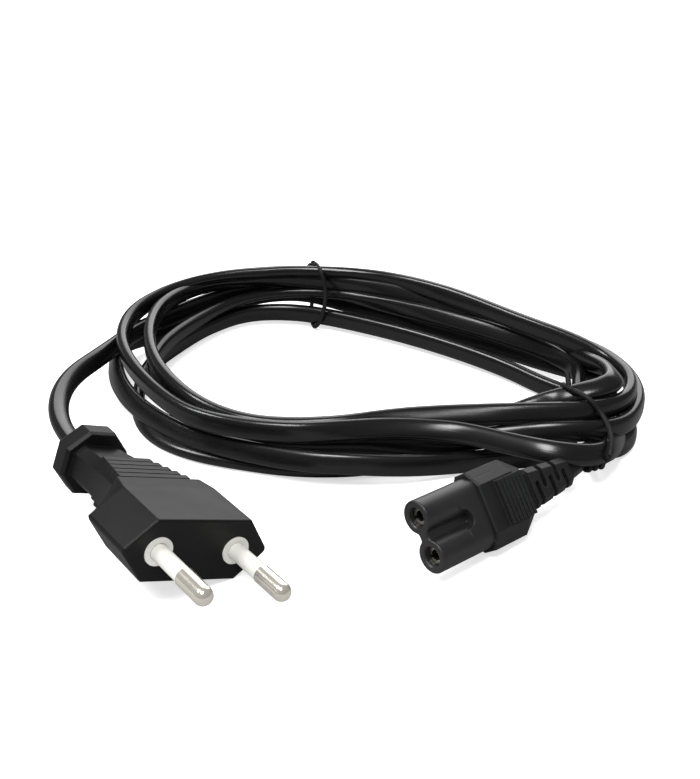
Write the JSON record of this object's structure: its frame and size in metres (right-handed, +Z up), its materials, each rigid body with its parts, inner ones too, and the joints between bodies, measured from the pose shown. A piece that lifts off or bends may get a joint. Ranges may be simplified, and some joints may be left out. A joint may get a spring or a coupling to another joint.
{
  "type": "figure eight power connector",
  "caption": "Mains lead with a flat hexagonal pin plug, flat cord wound in a tied oval coil, and a figure-eight appliance connector.",
  "frame": {"origin": "on the surface the lead lies on, under the middle of the box round the plug and the connector, cord left out", "axes": "+Z up, +Y from the mating ends towards the coil, +X from the plug towards the connector"},
  "size_m": [0.1522, 0.1719, 0.0214],
  "materials": {
    "plug_moulding": "satin black flexible plastic moulded over the plug's inner parts",
    "carrier": "white moulded plastic, smooth",
    "pin": "bright nickel plating on brass",
    "sleeve": "white moulded plastic, slightly glossy",
    "terminal": "plain pressed brass",
    "core_brown": "brown insulation",
    "core_blue": "blue insulation",
    "conductor": "bare stranded copper",
    "connector_moulding": "satin black flexible plastic",
    "nose": "charcoal hard plastic, fine matt grain",
    "contact": "tinned brass spring sleeve",
    "cord": "satin black flexible cord sheath",
    "tie": "matt black plastic coating on thin wire"
  },
  "bodies": {
    "root": {"plug_body": "plug_moulding", "plug_carrier": "carrier", "plug_pin_left": "pin", "plug_pin_right": "pin", "plug_sleeve_left": "sleeve", "plug_sleeve_right": "sleeve", "plug_terminal_left": "terminal", "plug_terminal_right": "terminal", "plug_core_left": "core_brown", "plug_core_right": "core_blue", "plug_conductor_left": "conductor", "plug_conductor_right": "conductor", "connector_body": "connector_moulding", "connector_nose": "nose", "connector_contact_left": "contact", "connector_contact_right": "contact", "connector_core_left": "core_brown", "connector_core_right": "core_blue", "connector_conductor_left": "conductor", "connector_conductor_right": "conductor", "cord_coil": "cord", "plug_lead": "cord", "connector_lead": "cord", "tie_back": "tie", "tie_front": "tie"}
  },
  "joints": []
}
